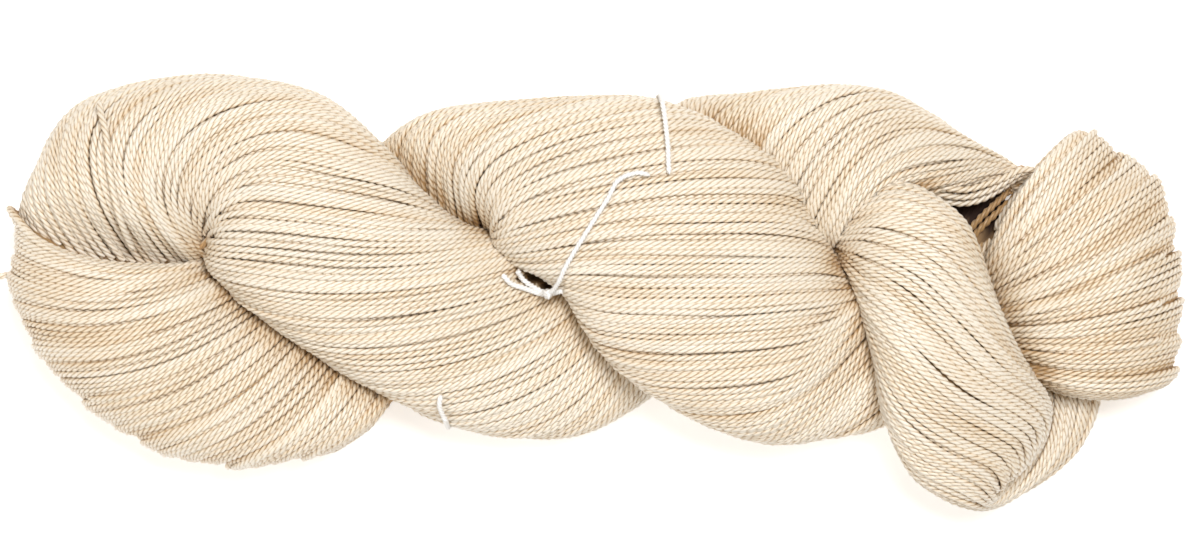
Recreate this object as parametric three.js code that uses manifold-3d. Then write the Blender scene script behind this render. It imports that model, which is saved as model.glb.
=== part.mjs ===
// A hank of silk yarn, twisted, folded back on itself and tucked through its own end loop.
// Millimetres, +Z up, resting on z = 0, with the origin under the middle of the hank.
import * as THREE from 'three';
import { mergeVertices } from 'three/addons/utils/BufferGeometryUtils.js';
import Module from 'manifold-3d';

// Driving sizes
const YARN = 1.9; // thickness of the plied yarn
const TIE = 1.0; // thickness of the tie threads
const CLEAR = 0.35; // gap kept between two pieces
const TURN = 140; // length of bundle in which its yarns go once round it
const LOOP_TURN = 500; // the same in the end loop, where the twist has opened
const CORNER = 2.3; // roundness of a cross section, where 2 is an ellipse
const CREASE = 1.1; // depth of the creases between two locks of yarn
const LOCKS = 8; // locks of yarn round a bundle
const LOCK_SIDES = 3; // flat sides across one lock, the first of them on a crease
const STEP = 7; // spacing of the cross sections along a twisted bundle
const FAN_STEP = 5; // spacing of the cross sections where the yarns lie as a fan
const SEAT = 0.15; // how far the middle of a tie thread lies above the yarn
const DEEP = 1.2; // how far a tie thread dives between the yarns
const THREAD_STEP = 2; // thicknesses between two cross sections of a thread
const MIDDLE = new THREE.Vector3(-0.5, -5.4, 0); // middle of the hank in the tables below

// Colours
const SILK = { color: 0xe6d3b3, roughness: 0.55, metalness: 0 };
const COTTON = { color: 0xf7f5f0, roughness: 0.8, metalness: 0 };

// Cross sections of the bundles, one row for each: the bundle's left and right edges seen from
// above, the height of its middle over the table and half of its thickness
const COLUMNS = ['leftX', 'leftY', 'rightX', 'rightY', 'height', 'half'];

// From the fold at the left end, over the top, under the second side and out again
const FIRST_SIDE = [
  [-146.5, 12, -99, 0, 22, 14],
  [-141, 26, -99, 3, 25.5, 21],
  [-128, 40, -98, 5, 26, 24],
  [-100, 49, -98, 7, 28, 24],
  [-70, 44.5, -97, 7.5, 33, 21],
  [-52, 30, -95, -1, 36, 18.5],
  [-39, 15.5, -81, -14.5, 37, 17],
  [-22, 6, -57, -30, 32, 17],
  [-7, 0.5, -31, -41, 22, 17.5],
  [4, 7, -3, -41.5, 15, 15.5],
  [13, 25, 24, -24, 13, 14],
  [19, 42, 44, -4, 18.5, 17.5],
  [34, 44.5, 53, 2, 24, 19],
  [56, 46.5, 58, 4.5, 30, 19],
  [70, 45, 61.5, 10, 32, 17],
  [83, 39, 70, 17, 31, 13],
  [93, 33, 82, 16.5, 28, 9.5],
  [101, 28, 95, 17, 23, 6.5],
  [110, 20, 107, 16, 16, 4],
];

// From the fold, under the first side, over the top and under the end loop
const SECOND_SIDE = [
  [-97, 4, -96, -48, 20, 15],
  [-84, -3, -70, -45, 18, 16],
  [-71, 2, -51, -31.5, 14.5, 15.5],
  [-64, 16, -38, -13, 14, 15],
  [-57, 30, -29, 5, 18.5, 16.5],
  [-42, 39.5, -28, 9.5, 30, 18],
  [-16, 43, -27, 9, 36, 19],
  [11, 43.3, -23, 3.5, 39, 18],
  [33, 35, -10, -6, 40, 17],
  [48, 24, -1.5, -20, 39, 17],
  [56, 9, 14, -33, 36, 17.5],
  [66, -3, 37, -43, 29, 18],
  [80, 8, 62, -42.5, 18, 16],
  [91, 18, 87, -35, 14, 15],
  [103, 21, 112, -32, 14, 13],
];

// The end loop of the first side, down, round and back up under the other loop
const END_LOOP = [
  [61, 20, 57, 5, 30, 10],
  [75, 22.5, 60, 0, 36, 15],
  [90, 13, 63.5, -10, 39, 16.5],
  [97, -3, 67, -22, 39, 16],
  [104, -20, 70, -37, 36, 16],
  [112, -30.5, 77, -51.5, 31, 15],
  [114, -33.5, 92, -60, 25, 14],
  [114.5, -33, 108, -56.5, 19.5, 12.5],
  [115, -31, 121, -42, 14.5, 11],
  [116, -23, 127, -23, 10.5, 10],
  [116.5, -6, 127.5, -6, 9, 10],
  [113, 9, 123, 12, 10, 9],
  [105.5, 17.5, 112, 23, 14, 7],
  [98, 20.5, 102, 26, 18, 5],
];

// The fold at the left end, whose yarns fan out from the second side and wrap its outer edge
const FOLD = [
  [-96, 4, -147.5, 15, 25, 15],
  [-95.5, 2.5, -147.8, 8.5, 24, 20.5],
  [-94, -1, -147.6, -2, 23.3, 23.5],
  [-91, -5, -145.5, -14, 22.8, 24],
  [-88, -9.5, -139, -24.5, 22.5, 23.5],
  [-80, -14.5, -126, -37.5, 21.5, 22.5],
  [-70.5, -21, -108, -47.5, 20.5, 21.5],
  [-62, -27, -88, -50.5, 19, 19.5],
  [-54, -32, -67, -46.5, 17, 15],
  [-49.5, -34, -53, -37.5, 16, 8],
];

// The end loop of the second side, pushed up through the other one and spread as a fan
const PULLED_LOOP = [
  [108, 24, 97, 10, 27, 4],
  [119.5, 36.2, 97, 8, 28, 10],
  [132, 29.5, 99, 2, 26, 16],
  [142, 21, 100.5, -3, 24, 19],
  [146.3, 3, 102.5, -9, 22, 21.5],
  [146.6, -15, 105.5, -16, 20, 20.5],
  [144.5, -27.5, 109, -22, 17, 17],
  [136, -32, 112.5, -27.5, 14, 12],
  [127, -31, 115, -30.5, 12, 8],
];

// Tie threads, as places seen from above: the thread lies on the yarn below each of them
const UPPER_TIE = [[16.8, 23.2], [16.6, 27], [16.5, 30], [16, 35.2], [15.5, 39.8], [14.9, 42]];
const UPPER_TIE_BACK = [[14.6, 38], [14.4, 33]]; // x and height, down the yarn's back
const LOWER_TIE = [
  [12.2, 22.8], [10.5, 23.5], [8.5, 23.5], [6.2, 22.8], [4.5, 21.8], [3.2, 20], [2, 17.5],
  [-1.2, 12.5], [-4.5, 7.2], [-6.5, 4], [-8.5, 0.5], [-10, -2.8], [-11.5, -5], [-12.8, -5.8],
];
const LONG_END = [[-12.8, -5.8], [-14.8, -5.8], [-18.5, -4.5], [-21.5, -3.5], [-23, -2.2], [-24, -1]];
const MIDDLE_END = [[-12.8, -5.8], [-15, -5], [-17, -3.8], [-18.8, -2.5], [-19.8, -1], [-20.2, -0.2]];
const SHORT_END = [[-12.8, -5.8], [-11, -5.5], [-9.2, -5.2]];
const KNOT = { x: -12.8, y: -5.8, size: 0.95, lift: 0.9 };
const FRONT_TIE = [[-39, -30.8], [-39.5, -32.2], [-39.5, -34], [-38.8, -36], [-38, -37.5]];
const FRONT_TIE_SIDE = [[-37.6, 18], [-37.4, 12]]; // x and height, down the yarn's front

// The loose end of the yarn: out of the fold, down to the table and along it
const LOOSE_END = [
  [-148.1, -1.4, 24], [-150.2, -1.5, 24], [-152.4, -1.6, 23.2], [-154, -1.8, 21.5],
  [-155.1, -2, 19.2], [-155.8, -2.2, 16.4], [-156.3, -2.5, 13.4], [-156.8, -2.9, 10.4],
  [-157.4, -3.4, 7.6], [-158.2, -4.1, 5.1], [-159.3, -5.1, 3.1], [-160.6, -6.4, 1.7],
  [-161.8, -8, 1.1], [-162.6, -10, 1], [-162.9, -12.2, 1], [-162.6, -14.4, 1],
  [-161.9, -16.5, 1],
];

const wasm = await Module();
wasm.setup();

// A closed mesh as a solid that can be joined and cut
function solid(geometry) {
  geometry.deleteAttribute('normal');
  geometry.deleteAttribute('uv');
  const merged = mergeVertices(geometry);
  const mesh = new wasm.Mesh({
    numProp: 3,
    vertProperties: new Float32Array(merged.attributes.position.array),
    triVerts: new Uint32Array(merged.index.array),
  });
  return new wasm.Manifold(mesh);
}

// A solid as a flat-shaded geometry
function geometryOf(body) {
  const mesh = body.getMesh();
  const geometry = new THREE.BufferGeometry();
  geometry.setAttribute('position', new THREE.BufferAttribute(mesh.vertProperties, 3));
  geometry.setIndex(new THREE.BufferAttribute(mesh.triVerts, 1));
  return geometry;
}

// A solid without its hidden hollows, because a hank is yarn right through
function outerSkin(body) {
  return body.decompose().reduce((best, one) => (one.volume() > best.volume() ? one : best));
}

// A smooth line through points
function through(points) {
  return new THREE.CatmullRomCurve3(points, false, 'catmullrom', 0.5);
}

// The outline of one cross section, as a function of the share of the way round it: from the
// right edge over the top to the left edge and back below
function outline(wide, half) {
  const COUNT = 96;
  const points = [];
  const passed = [0];
  for (let i = 0; i <= COUNT; i += 1) {
    const angle = (2 * Math.PI * i) / COUNT;
    const bend = (value) => Math.sign(value) * Math.abs(value) ** (2 / CORNER);
    points.push(new THREE.Vector2(-wide * bend(Math.cos(angle)), half * bend(Math.sin(angle))));
    if (i > 0) {
      passed.push(passed[i - 1] + points[i].distanceTo(points[i - 1]));
    }
  }
  return (share) => {
    const want = (share - Math.floor(share)) * passed[COUNT];
    let i = 1;
    while (passed[i] < want) {
      i += 1;
    }
    const part = (want - passed[i - 1]) / (passed[i] - passed[i - 1]);
    return points[i - 1].clone().lerp(points[i], part);
  };
}

// A bundle of yarns: its length, and the cross section at a distance along it
function bundle(table) {
  const rows = table.map((row) => Object.fromEntries(COLUMNS.map((name, i) => [name, row[i]])));
  const left = through(rows.map((row) => new THREE.Vector3(row.leftX, row.leftY, row.height)));
  const right = through(rows.map((row) => new THREE.Vector3(row.rightX, row.rightY, row.height)));
  const thick = through(rows.map((row) => new THREE.Vector3(row.half, 0, 0)));
  const middle = (u) => left.getPoint(u).lerp(right.getPoint(u), 0.5);
  const FINE = 400;
  const passed = [0];
  for (let i = 1; i <= FINE; i += 1) {
    passed.push(passed[i - 1] + middle(i / FINE).distanceTo(middle((i - 1) / FINE)));
  }
  const section = (distance) => {
    let i = 1;
    while (i < FINE && passed[i] < distance) {
      i += 1;
    }
    const part = (distance - passed[i - 1]) / (passed[i] - passed[i - 1]);
    const u = Math.min((i - 1 + part) / FINE, 1);
    const across = left.getPoint(u).sub(right.getPoint(u)).multiplyScalar(0.5);
    const half = thick.getPoint(u).x;
    return { centre: middle(u), across, half, round: outline(across.length(), half) };
  };
  return { length: passed[FINE], section };
}

// The closed skin of a bundle from one of its cross sections to another. A crease is pushed in.
function skin(yarns, first, last, spacing, lay) {
  const sides = LOCKS * LOCK_SIDES;
  const geometry = new THREE.CylinderGeometry(1, 1, 1, sides, last - first);
  const place = geometry.attributes.position;
  for (let i = 0; i < place.count; i += 1) {
    const number = first + Math.round((0.5 - place.getY(i)) * (last - first));
    const distance = number * spacing;
    const cut = yarns.section(distance);
    const round = Math.atan2(place.getZ(i), -place.getX(i)) / (2 * Math.PI);
    const side = (Math.round(round * sides) + sides) % sides;
    const creased = lay.turn ? side % LOCK_SIDES === 0 : number % LOCK_SIDES === 1;
    const spot = cut.round(lay.turn ? side / sides + distance / lay.turn : side / sides);
    spot.multiplyScalar(creased ? 1 - CREASE / Math.max(spot.length(), CREASE) : 1);
    const point = cut.across.clone().setLength(spot.x);
    point.z += spot.y;
    point.multiplyScalar(Math.round(Math.hypot(place.getX(i), place.getZ(i))));
    point.add(cut.centre);
    place.setXYZ(i, point.x, point.y, point.z);
  }
  return solid(geometry);
}

// A whole bundle, as stretches that share one step, so that no stretch crosses itself
function wound(table, breaks, step, lay) {
  const yarns = bundle(table);
  const count = Math.round(yarns.length / step);
  const ends = [0, ...breaks.map((share) => Math.round(share * count)), count];
  const stretches = [];
  for (let i = 1; i < ends.length; i += 1) {
    const first = Math.max(0, ends[i - 1] - 1);
    stretches.push(skin(yarns, first, ends[i], yarns.length / count, lay));
  }
  return stretches;
}

// The wound form of the hank, flat where it rests on the table
function woundForm() {
  const parts = [
    ...wound(FIRST_SIDE, [0.3, 0.52, 0.78], STEP, { turn: TURN }),
    ...wound(SECOND_SIDE, [0.28, 0.62], STEP, { turn: TURN }),
    ...wound(END_LOOP, [0.36, 0.7], STEP, { turn: LOOP_TURN }),
    ...wound(FOLD, [], FAN_STEP, {}),
    ...wound(PULLED_LOOP, [], FAN_STEP, {}),
  ];
  const joined = parts.reduce((whole, part) => whole.add(part));
  const ROOM = 400;
  const above = new THREE.BoxGeometry(ROOM, ROOM, ROOM);
  above.translate(0, 0, ROOM / 2);
  return outerSkin(joined.intersect(solid(above)));
}

// Finds the yarn's surface along a ray
function surface(mesh) {
  const ray = new THREE.Raycaster();
  return (from, toward) => {
    ray.set(from, toward);
    return ray.intersectObject(mesh)[0].point;
  };
}

// A round thread along a line of points, grown by a margin
function thread(points, thickness, margin, sides) {
  const path = through(points);
  const round = new THREE.Shape();
  round.absarc(0, 0, thickness / 2 + margin, 0, 2 * Math.PI);
  const steps = Math.round(path.getLength() / (THREAD_STEP * thickness));
  const shape = { extrudePath: path, steps, curveSegments: sides / 2, bevelEnabled: false };
  return solid(new THREE.ExtrudeGeometry(round, shape));
}

const form = woundForm();
const formMesh = new THREE.Mesh(geometryOf(form), new THREE.MeshStandardMaterial());
const hit = surface(formMesh);
const DOWN = new THREE.Vector3(0, 0, -1);
const HIGH = 200;

// The points of a tie thread that lies on the yarn at places seen from above
function onTop(places) {
  return places.map(([x, y]) => {
    const point = hit(new THREE.Vector3(x, y, HIGH), DOWN);
    point.z += SEAT;
    return point;
  });
}

// The points of a tie thread that lies against a side of the yarn, seen from the back or front
function onSide(places, side) {
  return places.map(([x, z]) => {
    const point = hit(new THREE.Vector3(x, side * HIGH, z), new THREE.Vector3(0, -side, 0));
    point.y += side * SEAT;
    return point;
  });
}

// The same points led on backward from the first one, down between the yarns
function diving(points) {
  const back = points[0].clone().sub(points[1]).setLength(2 * DEEP);
  const first = points[0].clone().add(back);
  first.z -= DEEP;
  return [first, ...points];
}

// Each tie thread as the lines of points that it follows
const TIE_LINES = {
  upper_tie: [[...diving(onTop(UPPER_TIE)), ...onSide(UPPER_TIE_BACK, 1)]],
  knotted_tie: [diving(onTop(LOWER_TIE)), onTop(LONG_END), onTop(MIDDLE_END), onTop(SHORT_END)],
  front_tie: [[...onTop(FRONT_TIE), ...onSide(FRONT_TIE_SIDE, -1)]],
};

// The lump of the knot, grown by a margin
function knot(margin) {
  const [seat] = onTop([[KNOT.x, KNOT.y]]);
  const lump = new THREE.TorusKnotGeometry(KNOT.size, TIE / 2 + margin, 24, 5, 2, 3);
  lump.translate(seat.x, seat.y, seat.z + KNOT.lift);
  return solid(lump);
}

// A tie thread, grown by a margin
function tie(name, margin) {
  const SIDES = 6;
  const lines = TIE_LINES[name].map((points) => thread(points, TIE, margin, SIDES));
  if (name === 'knotted_tie') {
    lines.push(knot(margin));
  }
  return lines.reduce((whole, line) => whole.add(line));
}

function named(name, body, look) {
  const mesh = new THREE.Mesh(geometryOf(body), new THREE.MeshStandardMaterial(look));
  mesh.name = name;
  return mesh;
}

// The hank, with a shallow bed for each tie thread
function hank() {
  const names = Object.keys(TIE_LINES);
  return outerSkin(names.reduce((whole, name) => whole.subtract(tie(name, CLEAR)), form));
}

const looseEnd = LOOSE_END.map(([x, y, z]) => new THREE.Vector3(x, y, z));

const group = new THREE.Group();
group.add(named('hank', hank(), SILK));
for (const name of Object.keys(TIE_LINES)) {
  group.add(named(name, tie(name, 0), COTTON));
}
group.add(named('loose_end', thread(looseEnd, YARN, 0, 8), SILK));
group.position.copy(MIDDLE).negate();

export default group;
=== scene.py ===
# %% [markdown]
# A hank of silk yarn is one long yarn wound into a ring, twisted like a rope, folded back on
# itself and tucked through its own end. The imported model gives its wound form. This lesson lays
# every yarn that shows along that form, because a hank is seen as yarns before anything else.
# A pattern of yarns on a smooth form would be quicker, but its outline would stay smooth.

import bpy
import numpy as np
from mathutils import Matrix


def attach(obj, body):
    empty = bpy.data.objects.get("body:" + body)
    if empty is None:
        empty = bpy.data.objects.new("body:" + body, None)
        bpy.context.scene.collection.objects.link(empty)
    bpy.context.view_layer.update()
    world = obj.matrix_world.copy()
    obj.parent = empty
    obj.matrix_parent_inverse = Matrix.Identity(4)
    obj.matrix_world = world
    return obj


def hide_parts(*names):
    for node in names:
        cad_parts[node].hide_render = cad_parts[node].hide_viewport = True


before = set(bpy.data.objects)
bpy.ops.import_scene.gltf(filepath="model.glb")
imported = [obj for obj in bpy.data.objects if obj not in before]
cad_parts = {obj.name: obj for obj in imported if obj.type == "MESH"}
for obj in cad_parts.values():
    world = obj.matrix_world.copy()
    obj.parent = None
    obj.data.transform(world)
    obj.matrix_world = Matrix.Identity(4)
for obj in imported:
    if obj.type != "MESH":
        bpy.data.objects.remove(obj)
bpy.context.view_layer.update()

# %% [markdown]
# The photograph looks straight down on the hank. A camera could be aimed by eye, or placed from
# the photograph's scale. Here 4 pixels are 1 mm at the middle of the yarn and the picture is 1200
# pixels wide. The camera hangs high up, as a real one does, so that near and far stay in scale.

# %% Camera
MM = 0.001
MIDDLE = np.array([-0.5, -5.4, 0.0])  # middle of the hank in this lesson's tables, in mm
CAMERA_HEIGHT = 1100.0  # over the plane in which the scale holds
SCALE_PLANE = 25.0
PIXELS_WIDE, PIXELS_PER_MM = 1200, 4.0
VIEW_WIDTH = PIXELS_WIDE / PIXELS_PER_MM
SENSOR = 36.0


def in_frame(points):
    """Points of the tables, in mm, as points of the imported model, in metres."""
    return (np.asarray(points, float) - MIDDLE) * MM


camera = bpy.data.objects.new("camera", bpy.data.cameras.new("camera"))
bpy.context.scene.collection.objects.link(camera)
camera.location = in_frame([0, 0, SCALE_PLANE + CAMERA_HEIGHT])
camera.data.sensor_width = SENSOR
camera.data.lens = SENSOR * CAMERA_HEIGHT / VIEW_WIDTH
camera.data.clip_end = 10.0
bpy.context.scene.camera = camera
print("lens", round(camera.data.lens, 1), "mm")

# %% [markdown]
# Shader maths reads best as plain Python. One small class wraps a socket, so that 1 - mask adds
# a Math node by itself. Every other node comes from one method, which takes the kind of node,
# its settings and what goes into its sockets.


# %% Shader maths as expressions
class Value:
    """One output socket of a material's nodes."""

    def __init__(self, paint, socket):
        self.paint = paint
        self.socket = socket

    def math(self, operation, *others):
        inputs = dict(enumerate((self, *others)))
        return self.paint.node("ShaderNodeMath", {"operation": operation}, inputs)

    def __add__(self, other):
        return self.math("ADD", other)

    __radd__ = __add__

    def __mul__(self, other):
        return self.math("MULTIPLY", other)

    __rmul__ = __mul__

    def __sub__(self, other):
        return self.math("SUBTRACT", other)

    def __rsub__(self, other):
        return self * -1 + other


class Paint:
    """A material that is built up from nodes."""

    def __init__(self, name):
        self.material = bpy.data.materials.new(name)
        self.material.use_nodes = True
        self.tree = self.material.node_tree
        self.tree.nodes.clear()

    def node(self, kind, settings=None, inputs=None, output=0):
        made = self.tree.nodes.new(kind)
        for name, value in (settings or {}).items():
            setattr(made, name, value)
        for name, value in (inputs or {}).items():
            if isinstance(value, Value):
                self.tree.links.new(value.socket, made.inputs[name])
            else:
                made.inputs[name].default_value = value
        return Value(self, made.outputs[output]) if made.outputs else None

    def mix(self, share, first, second):
        """A blend of two colours."""
        settings = {"data_type": "RGBA", "clamp_factor": True}
        return self.node("ShaderNodeMix", settings, {0: share, 6: first, 7: second}, 2)

    def finish(self, inputs):
        surface = self.node("ShaderNodeBsdfPrincipled", {}, inputs)
        self.node("ShaderNodeOutputMaterial", {}, {"Surface": surface})
        return self.material


# %% [markdown]
# Silk shows as short bright beads with tan grooves between them, because its plies wind round
# each other and every ply shines where it faces the light. The plies themselves are modelled
# further down; the material adds what is finer: the tan of the grooves as painted shade, a painted
# highlight on the top of every ply, the fibres that lie along each ply and the slow change of tone
# from yarn to yarn, whose lighter patches are painted sheen as well. It needs to know where it is
# on the yarn, so a UV map named yarn holds the distance along it in mm, and the yarn's number plus
# the share of the way round it, counted from the top of one ply.

# %% Plied silk
PLIES = 3
PITCH = 6.3  # mm in which a ply goes once round its yarn
# The groove colour is painted shade between the plies, the crest colour a painted highlight on their tops,
# and the midtone is the silk's own colour.
GROOVE_PAINTED_SHADE, MIDTONE, CREST_PAINTED_HIGHLIGHT = (0.46, 0.28, 0.125, 1), (0.79, 0.66, 0.49, 1), (0.88, 0.815, 0.71, 1)
BASE_TONE = 0.13  # at tone 0 the colour is the groove's, at 0.5 the midtone, at 1 the crest's
# The round of each ply paints it from the groove's painted shade to the crest's painted highlight.
PLY_PAINTED_LIGHT_TONE = 0.9  # what the round of a ply adds
# Patches are a random change of tone, and their lighter ones also stand in as painted sheen.
FIBRE_TONE, PATCH_TONE_AND_SHEEN, OWN_TONE = 0.55, 0.75, 0.14  # what fibres, patches and each yarn add
# The depth attribute carries painted shade; this is how much it darkens the colour.
PAINTED_SHADE_TONE = 0.3  # what shade takes away
FIBRES_ROUND, FIBRES_ALONG, FIBRES_OWN = 3, 0.35, 5.3  # fineness of the fibres' noise
PATCHES_ALONG, PATCHES_ACROSS = 0.04, 0.31  # fineness of the slow change of tone
FIBRE_RELIEF = 0.35  # height of the fibres, as a share of a ply's
ROUGHER = 0.2  # how much rougher a groove is than a crest
SHEEN, SHEEN_ROUGHNESS = 0.1, 0.4


def plied(name, pitch, groove_shade, midtone, crest_highlight, roughness, relief):
    """A material for a plied yarn or thread, with painted shade in its grooves and a painted highlight
    on its crests. Relief is the height of its bump, in mm.
    """
    paint = Paint(name)
    place = paint.node("ShaderNodeUVMap", {"uv_map": "yarn"})
    along = paint.node("ShaderNodeSeparateXYZ", {}, {0: place}, 0)
    number_and_round = paint.node("ShaderNodeSeparateXYZ", {}, {0: place}, 1)
    share = number_and_round.math("FRACT")
    number = number_and_round.math("FLOOR")
    from_crest = (share * PLIES + 0.5).math("FRACT") * 2 - 1
    rounded = (1 - from_crest * from_crest).math("MAXIMUM", 0.0).math("SQRT")
    turned = (share - along * (1 / pitch)) * (2 * np.pi)
    fibre_place = {
        0: turned.math("COSINE") * FIBRES_ROUND,
        1: turned.math("SINE") * FIBRES_ROUND,
        2: along * FIBRES_ALONG + number * FIBRES_OWN,
    }
    fibre_place = paint.node("ShaderNodeCombineXYZ", {}, fibre_place)
    fibres = paint.node("ShaderNodeTexNoise", {}, {"Vector": fibre_place, "Scale": 1.0, "Detail": 2.0})
    patch_place = {0: along * PATCHES_ALONG, 1: number * PATCHES_ACROSS}
    patch_place = paint.node("ShaderNodeCombineXYZ", {}, patch_place)
    patches = paint.node("ShaderNodeTexNoise", {}, {"Vector": patch_place, "Scale": 1.0, "Detail": 1.0})
    own = paint.node("ShaderNodeTexWhiteNoise", {"noise_dimensions": "1D"}, {"W": number})
    # The depth attribute carries painted shade, which darkens the colour towards the groove's.
    depth = paint.node("ShaderNodeAttribute", {"attribute_name": "depth"}, {}, 2)
    # The tone runs from the groove's painted shade through the midtone to the crest's painted highlight.
    tone = rounded * PLY_PAINTED_LIGHT_TONE + (fibres - 0.5) * FIBRE_TONE + (patches - 0.5) * PATCH_TONE_AND_SHEEN
    tone = tone + own * OWN_TONE + BASE_TONE - depth * PAINTED_SHADE_TONE
    lower = paint.mix(tone * 2, groove_shade, midtone)
    height = rounded + (fibres - 0.5) * FIBRE_RELIEF
    bump = {"Height": height, "Distance": relief * MM, "Strength": 1.0}
    return paint.finish(
        {
            "Base Color": paint.mix(tone * 2 - 1, lower, crest_highlight),
            "Roughness": roughness + ROUGHER - rounded * ROUGHER,
            "Normal": paint.node("ShaderNodeBump", {}, bump),
            "Sheen Weight": SHEEN,
            "Sheen Roughness": SHEEN_ROUGHNESS,
        }
    )


silk = plied("plied_silk", PITCH, GROOVE_PAINTED_SHADE, MIDTONE, CREST_PAINTED_HIGHLIGHT, roughness=0.33, relief=0.25)
print("material", silk.name, "with", len(silk.node_tree.nodes), "nodes")

# %% [markdown]
# The ties are plied too, of white cotton. Their grooves get a grey painted shade instead of the
# silk's tan one and their crests a white painted highlight; cotton has next to no gloss, and its
# plies turn faster. The same recipe with other numbers gives that.

# %% White cotton
COTTON_TURN = 3.0  # mm in which its fibres go once round a thread
# Painted grey shade for the grooves, the thread's own white, and a painted white highlight.
COTTON_SHADE_MIDTONE_HIGHLIGHT = (0.72, 0.7, 0.68, 1), (0.93, 0.92, 0.9, 1), (1, 1, 1, 1)
cotton = plied("white_cotton", COTTON_TURN, *COTTON_SHADE_MIDTONE_HIGHLIGHT, roughness=0.75, relief=0.15)
print("material", cotton.name)

# %% [markdown]
# Deep between the yarns lies more yarn, in warm shade: light that reaches it has passed from silk
# to silk. Darker lamps can't give that for one place alone, so the shade is painted into the
# material's colour, by a value that each point of a mesh carries.

# %% Yarn in the shade
# The warm brown of yarn deep in the bundles is painted shade.
DEEP_PAINTED_SHADE = (0.54, 0.35, 0.18, 1)
# Near black: the painted shade deep in a hole.
HOLE_PAINTED_SHADE = (0.03, 0.012, 0.007, 1)
SPOTS = 1200.0  # fineness of its mottling, for a metre


def deep_yarn_painted_shade():
    """A material for yarn that lies in the shade of other yarn, with that shade painted into its colour."""
    paint = Paint("deep_yarn_painted_shade")
    place = paint.node("ShaderNodeTexCoord", {}, {}, 3)
    spots = paint.node("ShaderNodeTexNoise", {}, {"Vector": place, "Scale": SPOTS, "Detail": 1.0})
    depth = paint.node("ShaderNodeAttribute", {"attribute_name": "depth"}, {}, 2)
    colour = paint.mix(depth, paint.mix(spots, DEEP_PAINTED_SHADE, GROOVE_PAINTED_SHADE), HOLE_PAINTED_SHADE)
    return paint.finish({"Base Color": colour, "Roughness": 0.9})


shade = deep_yarn_painted_shade()
print("material", shade.name)

# %% [markdown]
# The hank is five bundles of yarn. Each is a table of places seen from above: its left and right
# edge, the height of its middle and half of its thickness, all in mm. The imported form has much
# the same rows. A bundle could also follow one middle line with a turning frame, but two edges
# are far easier to read off a picture of something flat and wide.

# %% The five bundles
FIRST_SIDE = [
    [-145, 1, -95, -8, 20, 13],
    [-146.5, 12, -96, -1, 22, 14],
    [-141, 26, -96, 2, 25.5, 21],
    [-129, 42.5, -96.5, 4.5, 26, 24],
    [-100, 49, -97.5, 6.5, 28, 24],
    [-70, 44.5, -98, 6.5, 33, 21],
    [-52, 30, -96.5, -1.5, 36, 18.5],
    [-39, 15.5, -81, -14.5, 37, 17],
    [-21, 7.5, -57, -30, 32, 17],
    [-6, 3, -31, -41, 22, 17.5],
    [4, 7, -3, -41.5, 15, 15.5],
    [13, 25, 24, -24, 13, 14],
    [19, 42, 44, -4, 18.5, 17.5],
    [34, 44.5, 53, 2, 24, 19],
    [56, 46.5, 58, 4.5, 30, 19],
    [70, 45, 61.5, 10, 32, 17],
    [83, 39, 70, 17, 31, 13],
    [93, 33, 84, 18, 28, 9],
    [101, 28.3, 97, 21, 24, 5],
    [106.5, 25, 105, 22.5, 20, 3.2],
    [112, 22, 111, 20, 16, 2.5],
]
SECOND_SIDE = [
    [-97, 4, -96, -48, 20, 15],
    [-84, -3, -70, -45, 18, 16],
    [-71, 2, -51, -31.5, 14.5, 15.5],
    [-64, 16, -38, -13, 14, 15],
    [-57, 30, -28, 3.5, 18.5, 16.5],
    [-42, 39.5, -26.5, 8, 30, 18],
    [-16, 43, -27.5, 8, 36, 19],
    [11, 43.3, -24.5, 3, 39, 18],
    [33, 35, -10, -6, 40, 17],
    [48, 24, -1.5, -20, 39, 17],
    [56, 9, 14, -33, 36, 17.5],
    [66, -3, 37, -43, 29, 18],
    [80, 11, 62, -42.5, 18, 16],
    [91, 23, 87, -35, 14, 15],
    [103, 25, 112, -32, 14, 13],
]
END_LOOP = [
    [61, 20, 57, 5, 30, 10],
    [75, 22.5, 60, 0, 36, 15],
    [90, 13, 63.5, -10, 39, 16.5],
    [97, -3, 67, -22, 39, 16],
    [104, -20, 70, -37, 36, 16],
    [111, -29.5, 76.5, -50.5, 31, 15],
    [112.8, -38, 84.5, -57, 27, 14],
    [107.5, -49, 92, -60.2, 23, 12],
    [100, -53, 99, -60.4, 17, 9.5],
    [101.5, -49, 107, -57, 12.5, 8.5],
    [105, -42, 115.5, -51.5, 11, 8.5],
    [108, -34, 123, -43.5, 10.5, 9],
    [110, -24, 127.5, -31, 10, 9.5],
    [113, -8, 128, -8, 9.5, 9.5],
    [112, 9, 123, 12, 10, 9],
    [105.5, 17.5, 112, 23, 14, 7],
    [98, 20.5, 102, 26, 18, 5],
]
FOLD = [
    [-96, 4, -149.3, 15.3, 25, 15],
    [-95.5, 3.5, -146.8, 8.8, 24, 20.5],
    [-93.5, 1, -149.2, -2, 23.3, 23.5],
    [-88.5, -2.5, -145.5, -14, 22.8, 24],
    [-84, -6.5, -139, -24.5, 22.5, 23.5],
    [-76, -11, -126, -37.5, 21.5, 22.5],
    [-67, -17, -108, -47.5, 20.5, 21.5],
    [-59, -23, -88, -50.5, 19, 19.5],
    [-51.5, -27.5, -67, -46.5, 17, 15],
    [-50, -27.5, -57.5, -40.5, 16.5, 10.5],
]
PULLED_LOOP = [
    [108, 24, 96.5, 6, 27, 4],
    [119.5, 36.2, 94, 2, 28, 10],
    [132, 29.5, 93.5, -3, 26, 16],
    [142, 21, 94, -7, 24, 19],
    [146.3, 3, 95, -12, 22, 21.5],
    [147, -15, 97, -18.5, 20, 20.5],
    [145.5, -28, 100, -25, 17, 17],
    [138.5, -31, 105, -27.5, 14, 12],
    [128, -29, 110, -28.5, 12, 8],
]

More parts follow.
